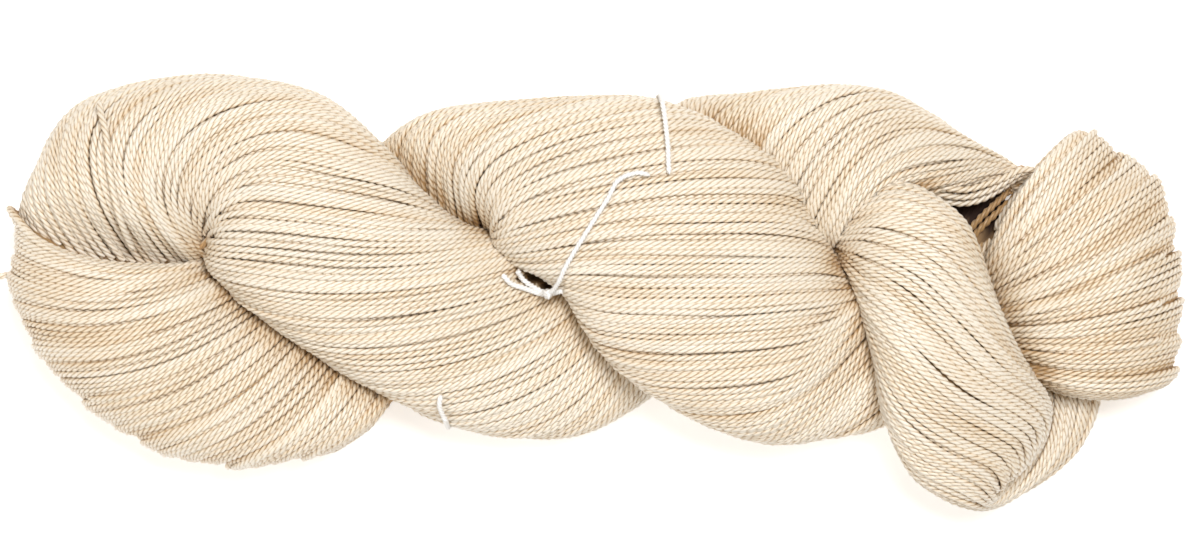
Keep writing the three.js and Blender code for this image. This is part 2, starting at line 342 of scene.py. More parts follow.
# %% [markdown]
# A smooth curve through the rows gives a cross section at any distance. Its outline is a
# superellipse, a little squarer than an ellipse, as soft bundles that press on each other are.
# Where yarns run from edge to edge, the sections may bow. A place on the bundle is then two
# numbers: how far along, and which share of the way round. A loft between curves in Blender
# would give the same surface, but not these two numbers, and every yarn needs them.


# %% A bundle as a smooth sweep
CORNER = 2.3  # roundness of a cross section, where 2 is an ellipse
FINE = 400  # cross sections worked out for each bundle
SIDES = 96  # points worked out round each of them
NEAR_MM, NEAR_SHARE = 0.4, 0.004  # steps along and round, to find which way the surface faces


def smooth_through(rows, places):
    """A smooth curve through rows, at places counted in rows."""
    i = np.clip(np.floor(places).astype(int), 0, len(rows) - 2)
    u = (places - i)[:, None]
    here, there = rows[i], rows[i + 1]
    before = np.where((i > 0)[:, None], rows[np.maximum(i - 1, 0)], 2 * here - there)
    last = len(rows) - 1
    after = np.where((i < last - 1)[:, None], rows[np.minimum(i + 2, last)], 2 * there - here)
    bend = 2 * before - 5 * here + 4 * there - after
    return here + 0.5 * u * (there - before + u * (bend + u * (3 * here - before - 3 * there + after)))


class Bundle:
    """A bundle of yarn between a left and a right edge, in mm.

    The two bows, as shares of the width, say how far its cross sections bulge along it at its
    first and at its last row.
    """

    def __init__(self, table, bows=(0.0, 0.0)):
        rows = smooth_through(np.array(table, float), np.linspace(0, len(table) - 1, FINE))
        left, right = rows[:, [0, 1, 4]], rows[:, [2, 3, 4]]
        self.middle = (left + right) / 2
        self.across = (left - right) / 2
        self.half = rows[:, 5]
        self.distance = self.passed(self.middle)
        self.length = self.distance[-1]
        angle = np.linspace(0, 2 * np.pi, SIDES + 1)
        self.wide = -np.sign(np.cos(angle)) * np.abs(np.cos(angle)) ** (2 / CORNER)
        self.high = np.sign(np.sin(angle)) * np.abs(np.sin(angle)) ** (2 / CORNER)
        width = np.linalg.norm(self.across, axis=1)[:, None]
        self.travel = np.cross(self.across, [0, 0, 1]) / width
        self.bow = 2 * width * np.linspace(*bows, FINE)[:, None]
        steps = np.hypot(np.diff(width * self.wide), np.diff(self.half[:, None] * self.high))
        self.share = np.concatenate([np.zeros((FINE, 1)), np.cumsum(steps, axis=1)], 1)
        self.round = self.share[:, -1].copy()
        self.share /= self.round[:, None]

    @staticmethod
    def passed(points):
        """Distance along a line of points."""
        return np.concatenate([[0], np.cumsum(np.linalg.norm(np.diff(points, axis=0), axis=1))])

    def at(self, along, share):
        """Points of the surface, for arrays of distances and shares of the way round."""
        row = np.clip(np.interp(along, self.distance, np.arange(FINE)), 0, FINE - 1.001)
        low = np.floor(row).astype(int)
        part = (row - low)[..., None]
        return self.spot(low, share) * (1 - part) + self.spot(low + 1, share) * part

    def spot(self, row, share):
        """The same, for whole rows."""
        share = share % 1.0
        # each row's list of shares is moved on by 2, so that one search goes through all of them
        flat_row, flat_share = row.ravel(), share.ravel()
        keys = self.share + np.arange(FINE)[:, None] * 2.0
        j = np.searchsorted(keys.ravel(), flat_share + flat_row * 2.0, side="right") - 1
        j = np.clip(j - flat_row * (SIDES + 1), 0, SIDES - 1)
        start, stop = self.share[flat_row, j], self.share[flat_row, j + 1]
        part = (flat_share - start) / np.maximum(stop - start, 1e-9)
        wide = self.wide[j] * (1 - part) + self.wide[j + 1] * part
        high = self.high[j] * (1 - part) + self.high[j + 1] * part
        points = self.middle[flat_row] + wide[:, None] * self.across[flat_row]
        points += ((1 - wide**2)[:, None] * self.bow[flat_row]) * self.travel[flat_row]
        points[:, 2] += high * self.half[flat_row]
        return points.reshape(*row.shape, 3)

    def outward(self, along, share):
        """Directions straight out of the surface."""
        ahead = self.at(along + NEAR_MM, share) - self.at(along - NEAR_MM, share)
        sideways = self.at(along, share + NEAR_SHARE) - self.at(along, share - NEAR_SHARE)
        normal = np.cross(ahead, sideways)
        return normal / np.maximum(np.linalg.norm(normal, axis=-1, keepdims=True), 1e-9)


bundles = {
    "first_side": Bundle(FIRST_SIDE),
    "second_side": Bundle(SECOND_SIDE),
    "end_loop": Bundle(END_LOOP),
    "fold": Bundle(FOLD, (0.11, 0.09)),
    "pulled_loop": Bundle(PULLED_LOOP, (-0.07, 0.14)),
}
for name, each in bundles.items():
    print(name, "is", round(each.length), "mm long and", round(each.round.mean()), "mm round")

# %% [markdown]
# No yarn of a real hank lies quite true: neighbours lean together into locks, sink between each
# other and drift. Noise for each point would look like gravel. A coarse grid of seeded random
# numbers, blended smoothly round and along the bundle, moves whole locks and keeps yarns smooth.


# %% Slow drift of the yarns
def drift(source, cells_round, cells_along, round_share, along_share):
    """Smooth seeded noise from -1 to 1 over a bundle. It closes on itself the way round."""
    grid = source.uniform(-1, 1, (cells_round, cells_along + 2))
    x, y = (round_share % 1.0) * cells_round, np.clip(along_share, 0, 1) * cells_along
    i, j = np.floor(x).astype(int), np.floor(y).astype(int)
    u, v = x - i, y - j
    u, v = u * u * (3 - 2 * u), v * v * (3 - 2 * v)
    i, after = i % cells_round, (i + 1) % cells_round
    near = grid[i, j] * (1 - u) + grid[after, j] * u
    far = grid[i, j + 1] * (1 - u) + grid[after, j + 1] * u
    return near * (1 - v) + far * v


# %% [markdown]
# Every yarn is a tube along its own line of points, with six columns of faces that wind round it
# like its three plies: every other column edge is the top of a ply and the others lie in the
# grooves between them. Curve objects with a bevel give plain round tubes only, and a screw
# modifier can't follow a bent line. A mesh written from arrays does both and takes a second or
# two for some ninety metres of yarn. Each yarn gets its own strip of the UV map.

# %% Plied tubes along many lines
YARN = 1.9
RADIUS = YARN / 2
COLUMNS = 2 * PLIES
CLOSED_END = 0.2  # the first and last ring of a tube, as a share of its radius
# Painted shade on the flanks of every yarn.
FLANK_PAINTED_SHADE = 1.4  # how much the flanks of a yarn count as lying in the shade of its neighbours
GROOVE_SHARE = 0.68  # how far out the grooves lie, as a share of the yarn's radius
STRIP_EDGE = 0.05  # share of a yarn's strip of the map that stays empty at either side
JUST_UNDER_ONE = 0.9999  # keeps the last corner of a ring from counting as the next yarn


def even_steps(lines, values, step):
    """Lines with even steps along each, and the values of their points to go with them."""
    steps = np.linalg.norm(np.diff(lines, axis=1), axis=2)
    passed = np.concatenate([np.zeros((len(lines), 1)), np.cumsum(steps, axis=1)], 1)
    count = int(np.ceil(np.percentile(passed[:, -1], 90) / step)) + 1
    both = np.concatenate([lines, values], 2)
    made = []
    for rows, at in zip(both, passed):
        wanted = np.linspace(0, at[-1], count)
        made.append(np.stack([np.interp(wanted, at, column) for column in rows.T], 1))
    made = np.array(made)
    return made[..., :3], made[..., 3:]


def tubes(name, lines, outs, shown, radius, pitch, source, depth=0.0):
    """A mesh object of plied tubes: lines and outs are arrays of tube, point and x y z, in mm.
    Depth is the painted shade of each tube or point.
    """
    count, length = lines.shape[:2]
    ahead = np.gradient(lines, axis=1)
    ahead /= np.maximum(np.linalg.norm(ahead, axis=2, keepdims=True), 1e-9)
    side = np.cross(ahead, outs)
    side /= np.maximum(np.linalg.norm(side, axis=2, keepdims=True), 1e-9)
    up = np.cross(side, ahead)
    steps = np.linalg.norm(np.diff(lines, axis=1), axis=2)
    passed = np.concatenate([np.zeros((count, 1)), np.cumsum(steps, axis=1)], 1)
    column = np.arange(COLUMNS)
    turn = source.uniform(0, 1, (count, 1)) - passed / pitch
    angle = 2 * np.pi * (column / COLUMNS + turn[..., None])[..., None]
    reach = (radius * np.where(column % 2 == 0, 1.0, GROOVE_SHARE))[:, None]
    reach = np.broadcast_to(reach, (length, COLUMNS, 1)).copy()
    reach[[0, -1]] *= CLOSED_END
    ring = reach * (up[:, :, None] * np.cos(angle) + side[:, :, None] * np.sin(angle))
    points = in_frame(lines[:, :, None] + ring).reshape(-1, 3)
    tube, step, edge = np.meshgrid(np.arange(count), np.arange(length - 1), column, indexing="ij")
    seen = np.minimum(shown[:, :-1], shown[:, 1:])[..., None].repeat(COLUMNS, 2) > 0.5
    tube, step, edge = tube[seen], step[seen], edge[seen]
    first = (tube * length + step) * COLUMNS
    after = (edge + 1) % COLUMNS
    corners = [first + edge, first + after, first + COLUMNS + after, first + COLUMNS + edge]
    faces = np.stack(corners, -1).reshape(-1)
    used, faces = np.unique(faces, return_inverse=True)
    mesh = bpy.data.meshes.new(name)
    mesh.vertices.add(len(used))
    mesh.vertices.foreach_set("co", points[used].ravel())
    mesh.loops.add(faces.size)
    mesh.loops.foreach_set("vertex_index", faces)
    mesh.polygons.add(faces.size // 4)
    mesh.polygons.foreach_set("loop_start", np.arange(0, faces.size, 4))
    mesh.update(calc_edges=True)
    along = np.stack([passed[tube, step + i] for i in (0, 0, 1, 1)], -1)
    share = np.stack([(edge + i) / COLUMNS for i in (0, 1, 1, 0)], -1)
    strip = tube[:, None]
    maps = {
        "OFBake": (
            along / passed[:, -1][strip],
            (strip + STRIP_EDGE + (1 - 2 * STRIP_EDGE) * share) / count,
        ),
        "yarn": (along, strip + JUST_UNDER_ONE * share),
    }
    for map_name, pair in maps.items():
        layer = mesh.uv_layers.new(name=map_name)
        layer.data.foreach_set("uv", np.stack(pair, -1).ravel())
    # The depth attribute is painted shade: what the yarn was given, and more on its flanks, as if its
    # neighbours shaded them.
    sunk = mesh.attributes.new("depth", "FLOAT", "POINT")
    painted_shade_at = np.broadcast_to(np.asarray(depth, float), (count, length))[..., None]
    painted_shade_at = (painted_shade_at + FLANK_PAINTED_SHADE * (1 - np.cos(angle[..., 0]))).ravel()
    sunk.data.foreach_set("value", painted_shade_at[used].astype(np.float32))
    mesh.polygons.foreach_set("use_smooth", np.ones(faces.size // 4, bool))
    piece = bpy.data.objects.new(name, mesh)
    bpy.context.scene.collection.objects.link(piece)
    return piece


triangles = {}


def dressed(piece, material, slot, *nodes):
    """Gives a piece its material and hides the imported nodes it stands in for. The slot is not used."""
    piece.data.materials.append(material)
    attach(piece, "root")
    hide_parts(*nodes)
    triangles[piece.name] = sum(len(face.vertices) - 2 for face in piece.data.polygons)


# %% [markdown]
# The loose end of the yarn comes out of the fold, bends down and lies on the table. A thin yarn
# like this could be let fall as a cloth or a soft body, but so short an end is drawn faster than
# it is simulated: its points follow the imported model's, which already rest on the table. Only its
# start lies a little further inside the fold.

# %% Loose end
LOOSE_END = [
    [-146.9, -1.4, 24], [-150.2, -1.5, 24], [-152.4, -1.6, 23.2], [-154, -1.8, 21.5],
    [-155.1, -2, 19.2], [-155.8, -2.2, 16.4], [-156.3, -2.5, 13.4], [-156.8, -2.9, 10.4],
    [-157.4, -3.4, 7.6], [-158.2, -4.1, 5.1], [-159.3, -5.1, 3.1], [-160.6, -6.4, 1.7],
    [-161.8, -8, 1.1], [-162.6, -10, 1], [-162.9, -12.2, 1], [-162.6, -14.4, 1],
    [-161.9, -16.5, 1],
]


THREAD_POINTS = 60  # points of a line that is drawn one by one
LOOSE_POINTS = 81
FIRST_OUT = [0.31, 0.0, 0.95]  # where the first ring of such a line starts to turn from
STRAND_SEED = 9


def fine_line(points, count=THREAD_POINTS):
    """A smooth line through points, with even steps."""
    rows = smooth_through(np.array(points, float), np.linspace(0, len(points) - 1, 10 * THREAD_POINTS))
    passed = Bundle.passed(rows)
    wanted = np.linspace(0, passed[-1], count)
    return np.stack([np.interp(wanted, passed, rows[:, axis]) for axis in range(3)], 1)


def strands(name, lines, radius, pitch, depth=0.0):
    """Plied tubes along a few lines, with depth as their painted shade."""
    lines = np.array(lines)
    ahead = np.gradient(lines, axis=1)
    ahead /= np.linalg.norm(ahead, axis=2, keepdims=True)
    outs = np.empty_like(lines)
    out = np.array([FIRST_OUT] * len(lines))
    for i in range(lines.shape[1]):
        # each step keeps what it can of the last direction, so that the tube never twists over
        out = out - (out * ahead[:, i]).sum(1, keepdims=True) * ahead[:, i]
        out /= np.linalg.norm(out, axis=1, keepdims=True)
        outs[:, i] = out
    shown = np.ones(lines.shape[:2])
    source = np.random.default_rng(STRAND_SEED)
    return tubes(name, lines, outs, shown, radius, pitch, source, depth)


loose_line = fine_line(LOOSE_END, LOOSE_POINTS)
loose_end = strands("loose_end_of_yarn", [loose_line], RADIUS, PITCH)
dressed(loose_end, silk, "silk_yarn", "loose_end")
loose_length = Bundle.passed(loose_line)[-1]
print("loose end", round(loose_length, 1), "mm")

# %% [markdown]
# In places the picture looks down into the hank: through a hole beside the pulled loop, through a
# slit at the knot, and where two bundles pinch the yarns between them. The holes are places where
# the tables' bundles get no yarn, and the skins inside sink and get a dark painted shade. Shade from
# lamps alone would stay too light, because the real hank is packed with yarn below. Pinches only
# get painted shade.

# %% Holes and pinches
# Bundle, middle x and y, two radii, tilt in degrees, the height below which it counts, and how
# dark its painted shade is
HOLLOWS = [
    ("second_side", 93.5, 14.5, 10, 6, 12, 27, 1.0),
    ("end_loop", 93.5, 14.5, 10, 6, 12, 27, 1.0),
    ("first_side", -15, -2.4, 4.2, 1.7, -27, 60, 0.7),
]
# Where yarns dive together between two bundles: x, y and how dark their painted shade is there
PINCHES = [(-98.3, 6.2, 1.6), (-31, 11, 2.2), (58.7, 2, 2.6), (60.5, -4, 1.5)]
PINCH_REACH = 4.0


def pinched(points):
    """How much painted warm shade points get at a pinch."""
    share = np.zeros(points.shape[:-1])
    for x, y, amount in PINCHES:
        away = np.hypot(points[..., 0] - x, points[..., 1] - y) / PINCH_REACH
        share = np.maximum(share, amount * np.exp(-(away**2)))
    return share


def hollow(name, points):
    """How far points lie in a hollow, from 0 to 1, which also sets its painted dark shade."""
    inside = np.zeros(points.shape[:-1])
    for owner, x, y, long, short, tilt, top, painted_shade in HOLLOWS:
        if owner == name:
            c, s = np.cos(np.radians(tilt)), np.sin(np.radians(tilt))
            dx, dy = points[..., 0] - x, points[..., 1] - y
            away = np.hypot((dx * c + dy * s) / long, (dy * c - dx * s) / short)
            share = np.clip(3 - 2 * away, 0, 1) * painted_shade * (points[..., 2] < top)
            inside = np.maximum(inside, share)
    return inside


print(len(HOLLOWS), "hollows and", len(PINCHES), "pinches")

# %% [markdown]
# Much of each bundle lies inside another one. Yarn in there can't be seen and would only cost
# faces. A boolean could cut it away and would take minutes; here a yarn's points are tested
# against the cross sections of the other bundles, and its faces are left out where it runs deep.

# %% Which points lie deep inside another bundle
COVER = 2.6  # mm of yarn over a point before it counts as hidden
COVER_OF = {"fold": 4.0, "pulled_loop": 9.0}  # the same for bundles with an open edge
SAMPLES = 80  # cross sections that are tested in each bundle
SHADE_REACH = 7.0  # mm from another bundle at which its shade begins
OUTSIDE = -99.0  # depth of a point that is near none of them
SECTION_REACH, SECTION_SLACK = 0.6, 0.3  # share of the gap to the next section, and mm more
UNDER_BY = 1.5  # a bundle's middle counts as above a point up to this many mm below it


def cover(bundle, points):
    """How deep points lie in a bundle, in mm, and whether the bundle's middle is above them."""
    rows = np.linspace(0, FINE - 1, SAMPLES).astype(int)
    middle, across, half = bundle.middle[rows], bundle.across[rows], bundle.half[rows]
    forward, bow = bundle.travel[rows], bundle.bow[rows, 0]
    passed = bundle.distance[rows]
    width = np.linalg.norm(across, axis=1)
    sideways = across / width[:, None]
    deepest = np.full(len(points), OUTSIDE)
    above = np.zeros(len(points), bool)
    for i in range(1, SAMPLES - 1):
        other = i + 1
        away = points - middle[i]
        a = away @ sideways[i]
        gap = abs((middle[other] - middle[i]) @ forward[i])
        fan = abs((across[other] - across[i]) @ forward[i]) / width[i]
        ahead = away @ forward[i] - bow[i] * np.maximum(0, 1 - (a / width[i]) ** 2)
        near = np.abs(ahead) < SECTION_REACH * (gap + np.abs(a) * fan) + SECTION_SLACK
        share = np.abs(a / width[i]) ** CORNER + np.abs(away[:, 2] / half[i]) ** CORNER
        deep = (1 - share ** (1 / CORNER)) * min(width[i], half[i])
        deep = np.minimum(deep, np.minimum(passed[i], bundle.length - passed[i]) + np.abs(ahead))
        better = near & (deep > deepest)
        deepest[better] = deep[better]
        above[better] = away[better, 2] < UNDER_BY
    return deepest, above


def under_others(name, lines):
    """Whether each point can be seen, and how much painted shade it gets from other bundles over it."""
    flat = lines.reshape(-1, 3)
    shown, shaded = np.ones(len(flat)), np.zeros(len(flat))
    for other, bundle in bundles.items():
        if other != name:
            deep, above = cover(bundle, flat)
            shown[deep > COVER_OF.get(other, COVER)] = 0
            shaded = np.maximum(shaded, np.clip(1 + deep / SHADE_REACH, 0, 1) * above)
    return shown.reshape(lines.shape[:2]), shaded.reshape(lines.shape[:2])


# %% [markdown]
# Where a bundle narrows, its yarns can't all stay on its outside: some sink below their
# neighbours. Real yarns push each other down, which a simulation could do in hours. Here each
# yarn has a rank, and the more crowded a place is, the more ranks sink there.

# %% Laying yarns on a bundle
STEP = 2.4  # mm between the points at which a yarn's place is worked out
RING = 1.2  # mm between the rings of its mesh
MOST = 186000  # triangles in one piece
LAYER = 1.5  # mm that a yarn sinks where it has to pass under another
MOST_UNDER = 6.0  # mm that it sinks at most
HIDDEN_UNDER = 2.5  # mm that it sinks before it counts as hidden
ROOM = 0.9  # yarns that fit side by side in the room of one before any sinks
TIGHTEST, WIDEST = YARN / 12, YARN * 2  # spacing of neighbours that is still counted, in mm
SMOOTHING = np.array([1, 2, 3, 2, 1]) / 9
RANK_DIGITS = 7
# Painted shade: how much a yarn gets from its own depth, from yarns over it and from bundles over it.
DEPTH_SHADE, UNDER_SHADE, OTHER_SHADE = 0.8, 0.5, 1.8  # shade by own depth, by yarns, by bundles
MOST_UNDER_SHADE = 2  # mm under other yarns at which their shade is full
yarn_points = []


def ranks(count):
    """Numbers from 0 to 1 for yarns side by side, so that the lowest ones are evenly spread."""
    order = np.arange(count)
    rank = np.zeros(count)
    for digit in range(RANK_DIGITS):
        rank += ((order >> digit) & 1) * 0.5 ** (digit + 1)
    return rank


def crowding(lines, closed):
    """How many yarns share the room of one, from the distance between neighbours."""
    ahead = np.gradient(lines, axis=1)
    ahead /= np.maximum(np.linalg.norm(ahead, axis=2, keepdims=True), 1e-9)
    if closed:
        before, after = lines[-1:], lines[:1]
    else:
        before, after = 2 * lines[:1] - lines[1:2], 2 * lines[-1:] - lines[-2:-1]
    padded = np.concatenate([before, lines, after])
    apart = (padded[2:] - padded[:-2]) / 2
    apart -= (apart * ahead).sum(2, keepdims=True) * ahead
    spacing = np.linalg.norm(apart, axis=2)
    padded = np.pad(spacing, ((0, 0), (2, 2)), mode="edge")
    spacing = sum(share * padded[:, i : i + spacing.shape[1]] for i, share in enumerate(SMOOTHING))
    return YARN / np.clip(spacing, TIGHTEST, WIDEST)


def lay(name, bundle, along, share, depth, seed, closed):
    """Lays yarns on a bundle, sunk by their radius and by depth, and never below the table."""
    plain = bundle.at(along, share)
    outs = bundle.outward(along, share)
    crowd = crowding(plain, closed)
    under = np.maximum(0, ranks(len(plain))[:, None] * crowd - ROOM) * LAYER
    under = np.minimum(under, MOST_UNDER)
    lines = plain - (RADIUS + depth + under)[..., None] * outs
    lines[..., 2] = np.maximum(lines[..., 2], RADIUS)
    shown, shaded = under_others(name, lines)
    shown = shown * (under < HIDDEN_UNDER) * (hollow(name, lines) < 0.5)
    # Painted shade, carried to the tubes as their depth attribute: from the yarn's own depth, the yarns
    # over it, the bundles over it, and the pinches.
    in_shade = depth * DEPTH_SHADE + np.minimum(under, MOST_UNDER_SHADE) * UNDER_SHADE
    in_shade = in_shade + shaded**2 * OTHER_SHADE + pinched(lines)
    values = np.concatenate([outs, shown[..., None], in_shade[..., None]], 2)
    lines, values = even_steps(lines, values, RING)
    outs, shown, in_shade = values[..., :3], values[..., 3], values[..., 4]
    yarn_points.append(lines[shown > 0.5])
    parts = int(np.ceil(shown.sum() * COLUMNS * 2 / MOST))
    source = np.random.default_rng(seed + 100)
    for part in range(parts):
        some = slice(part * len(lines) // parts, (part + 1) * len(lines) // parts)
        which = name if parts == 1 else f"{name}_{part + 1}"
        at = lines[some], outs[some], shown[some]
        piece = tubes(which, *at, RADIUS, PITCH, source, in_shade[some])
        dressed(piece, silk, "silk_yarn", "hank")
    print(name, "has", round(len(yarn_points[-1]) * RING * MM, 1), "m of yarn in sight")


# %% [markdown]
# In a twisted side each yarn runs along the bundle and slowly round it. All yarns of a side share
# one rate of twist, and the drift then pushes them in, out and aside: whole locks, groups of a
# few yarns, and each yarn by itself.

# %% Yarns of the twisted bundles
TURN = 140.0  # mm of bundle in which its yarns go once round it
LOOP_TURN = 210.0  # the same in the end loop, where the twist has opened
SUNK = 0.15  # mm that all yarns sink
# Cells of a drift round the bundle, where None is one for each yarn, mm between them along it,
# and how far it pushes: in mm for sinking, in yarns for straying aside
SINKING = [(9, 70, 0.35), (24, 45, 0.35), (None, 30, 0.3)]
STRAYING = [(30, 40, 0.35), (None, 25, 0.25), (9, 60, 0.5)]


def twisted(name, count, turn, seed):
    """All yarns of a twisted bundle."""
    bundle = bundles[name]
    source = np.random.default_rng(seed)
    steps = int(bundle.length / STEP)
    share, along = np.meshgrid(
        np.arange(count) / count, np.linspace(0, bundle.length, steps), indexing="ij"
    )

    def pushed(start, drifts):
        for cells, spacing, reach in drifts:
            cells_along = int(bundle.length / spacing)
            start = start + reach * drift(source, cells or count, cells_along, share, along / bundle.length)
        return start

    depth = pushed(SUNK, SINKING)
    aside = pushed(0.0, STRAYING)
    lay(name, bundle, along, share + aside / count + along / turn, depth, seed, True)


twisted("first_side", count=98, turn=TURN, seed=1)
twisted("second_side", count=88, turn=TURN, seed=2)
twisted("end_loop", count=76, turn=LOOP_TURN, seed=3)

# %% [markdown]
# In the fold and in the pulled loop the yarns lie side by side as hoops that fan out, so each is
# one outline of the bundle. They are spaced evenly along the outer edge, where they show most. At
# that edge the locks lie in steps, each a little lower than the last, as the picture shows.

# %% Yarns of the fans
FAN_REACH = 0.3  # mm that groups and single yarns sink by drift
YARN_STRAY, GROUP_STEP = 0.25, 0.25  # yarns that one yarn strays, and how ragged the steps are


def fanned(name, count, seed, outer, clump, locks, step_down):
    """Hoops of yarn round a fan.

    Outer is 1 where the left edge is the outer one, or else -1. Groups of yarns stray by clump
    yarns, and the fan has this many locks, across each of which the yarns step down, in mm.
    """
    bundle = bundles[name]
    source = np.random.default_rng(seed)
    passed = Bundle.passed(bundle.middle + outer * bundle.across)
    start = 0.0 if outer == 1 else 0.5
    steps = int(bundle.round.mean() / STEP)
    number, way = np.meshgrid((np.arange(count) + 0.5) / count, np.linspace(0, 1, steps), indexing="ij")
    groups = drift(source, count // 4, 3, number, way)
    single_yarn = drift(source, count, 4, number, way)
    stepped = (number * locks + GROUP_STEP * groups) % 1.0
    at_rim = np.clip(-outer * np.cos(2 * np.pi * (way + start)), 0, 1) ** 3
    depth = SUNK + FAN_REACH * groups + FAN_REACH * single_yarn + step_down * stepped * (1 + at_rim)
    spread = drift(source, count // 3, 3, number, way) * clump
    spread = spread + YARN_STRAY * drift(source, count, 5, number, way)
    along = np.interp(np.clip(number + spread / count, 0, 1) * passed[-1], passed, bundle.distance)
    lay(name, bundle, along, way + start, depth, seed, False)


fanned("fold", count=90, seed=4, outer=-1, clump=0.4, locks=7, step_down=0.6)
fanned("pulled_loop", count=76, seed=5, outer=1, clump=0.6, locks=11, step_down=1.0)

# %% [markdown]
# Between yarns one looks down on more yarn in shade, never through the hank. Filling it with
# yarns right through would cost millions of faces. Each bundle gets one closed skin inside, with
# ribs that run as the yarns of the layer below do, and with that shade painted on.

# %% Deep yarn inside the bundles
RIB_TOP = 2.2  # depth of the ribs' tops below the bundle's outside
RIB_DEPTH = 0.9
RIB_STEP = 6.0  # mm between the points along a rib that winds along its bundle
HOOP_POINTS = 40  # points of a rib that goes round as a hoop
INSET = 2.5  # mm by which the skin is shorter than its bundle at each end
HOLLOW_SINK = 5  # mm that it sinks under a hole
# How much of the pinches' painted shade the skins inside get.
PINCH_PAINTED_SHADE = 0.3  # how dark it gets in a pinch, as a share of the yarns there


def inner_skin(name, ribs, turn):
    """A closed ribbed skin inside a bundle. Its ribs run with the yarns, or round where turn is 0."""
    bundle = bundles[name]
    if turn:
        around, rows = 2 * ribs, int(bundle.length / RIB_STEP)
    else:
        around, rows = HOOP_POINTS, 2 * ribs
    share, along = np.meshgrid(
        np.arange(around) / around, np.linspace(INSET, bundle.length - INSET, rows), indexing="ij"
    )
    share_at = share + along / turn if turn else share
    sunk = np.indices(share.shape)[0 if turn else 1] % 2
    depth = RIB_TOP + RIB_DEPTH * sunk[..., None]
    points = bundle.at(along, share_at) - depth * bundle.outward(along, share_at)
    # The skin sinks under the holes and is painted dark there.
    painted_shade = hollow(name, points)
    points[..., 2] = np.maximum(points[..., 2] - HOLLOW_SINK * painted_shade, RIB_TOP)
    painted_shade = np.maximum(painted_shade, PINCH_PAINTED_SHADE * pinched(points))
    points, painted_shade = points.transpose(1, 0, 2), painted_shade.T
    ids = np.arange(rows * around).reshape(rows, around)
    beside = np.roll(ids, -1, 1)
    quads = np.stack([ids[:-1], beside[:-1], beside[1:], ids[1:]], -1).reshape(-1, 4)
    middles = np.array([points[0].mean(0), points[-1].mean(0)])
    low, high = rows * around, rows * around + 1
    caps = [(low, b, a) for a, b in zip(ids[0], beside[0])]
    caps += [(high, a, b) for a, b in zip(ids[-1], beside[-1])]
    mesh = bpy.data.meshes.new(name + "_inside")
    everywhere = np.concatenate([points.reshape(-1, 3), middles])
    mesh.from_pydata(in_frame(everywhere).tolist(), [], quads.tolist() + caps)
    mesh.polygons.foreach_set("use_smooth", np.ones(len(mesh.polygons), bool))
    painted_shade_at = mesh.attributes.new("depth", "FLOAT", "POINT")
    painted_shade_at.data.foreach_set("value", np.append(painted_shade.ravel(), [0, 0]).astype(np.float32))
    piece = bpy.data.objects.new(name + "_inside", mesh)
    bpy.context.scene.collection.objects.link(piece)
    dressed(piece, shade, "silk_yarn", "hank")
    print(piece.name, "has", triangles[piece.name], "triangles")


for name, ribs, turn in (
    ("first_side", 70, TURN),
    ("second_side", 70, TURN),
    ("end_loop", 46, LOOP_TURN),
    ("fold", 60, 0),
    ("pulled_loop", 50, 0),
):
    inner_skin(name, ribs, turn)

# %% [markdown]
# A few yarns leave their bundles and are seen one by one. They could be left to chance, but they
# are what makes this hank this one, so each gets its own line of points.

# %% Yarns that go their own way
HANGING = [
    [[72, 21.5, 31], [80, 20, 31], [86.2, 18.5, 31], [91.2, 18.2, 30], [96.2, 19.6, 29.5],
     [100.5, 21.6, 28.5], [104.5, 24, 27], [108, 25, 25]],
    [[74, 22.5, 33], [80, 21.8, 33], [86, 20.3, 33], [91.2, 20, 32], [96.2, 21.4, 31],
     [100.8, 23, 29.5], [104.5, 24.8, 28], [108.5, 25.2, 26]],
    [[73, 20, 29], [79, 19, 29], [84, 17.6, 29], [90, 16.6, 28.5], [95, 17.6, 28],
     [99.5, 20, 27], [103.5, 22.6, 25.5], [107, 24.2, 23.5]],
]
SHADED = [
    [[89, 4, 19], [91.8, 8.7, 20.5], [95.2, 12.8, 21.5], [98.9, 16.4, 21.5], [103, 20.2, 20]],
    [[90.6, 3, 19.5], [93.2, 7.6, 21], [96.4, 11.4, 22], [100.2, 15, 22], [104.4, 18.6, 20.5]],
]
# Depth here is painted shade: a little on the hanging yarns, a lot on the yarns down in the hole.
hanging = strands("hanging_yarns", [fine_line(line) for line in HANGING], RADIUS, PITCH, depth=0.3)
shaded = strands("shaded_yarns", [fine_line(line) for line in SHADED], RADIUS, PITCH, depth=4.0)
for piece, lines in ((hanging, HANGING), (shaded, SHADED)):
    dressed(piece, silk, "silk_yarn", "hank")
    print(piece.name, "are", len(lines))

# %% [markdown]
# The white threads lie on the yarns. Their heights could be typed in, but then they would float or
# sink wherever the yarns have drifted. Here a thread is let down on the yarns: at each of its
# points it rests on the highest yarn that it touches.

# %% Laying a thread on the yarns
HIGHEST_OF, MEAN_OF = 5, 7  # neighbouring points whose heights are compared, then evened out
PRESSED = 0.1  # mm that a thread presses into the yarns
all_yarn = np.concatenate(yarn_points)


def over_neighbours(values, window, measure):
    """A measure, such as the mean, of each value and its neighbours."""
    padded = np.pad(values, window // 2, mode="edge")
    return measure([padded[i : i + len(values)] for i in range(window)], axis=0)


def resting(plan, radius, count=THREAD_POINTS):
    """A line of a thread that lies on the yarns, from points seen from above."""
    line = fine_line([[x, y, 0] for x, y in plan], count)
    reach = RADIUS + radius
    heights = []
    for x, y, _ in line:
        apart = np.hypot(all_yarn[:, 0] - x, all_yarn[:, 1] - y)
        near = apart < reach
        tops = all_yarn[near, 2] + np.sqrt(reach**2 - apart[near] ** 2)
        heights.append(tops.max(initial=radius))
    highest = over_neighbours(heights, HIGHEST_OF, np.max)
    line[:, 2] = over_neighbours(highest, MEAN_OF, np.mean) - PRESSED
    return fine_line(line, count)


print("threads are let down on", len(all_yarn), "points of yarn")

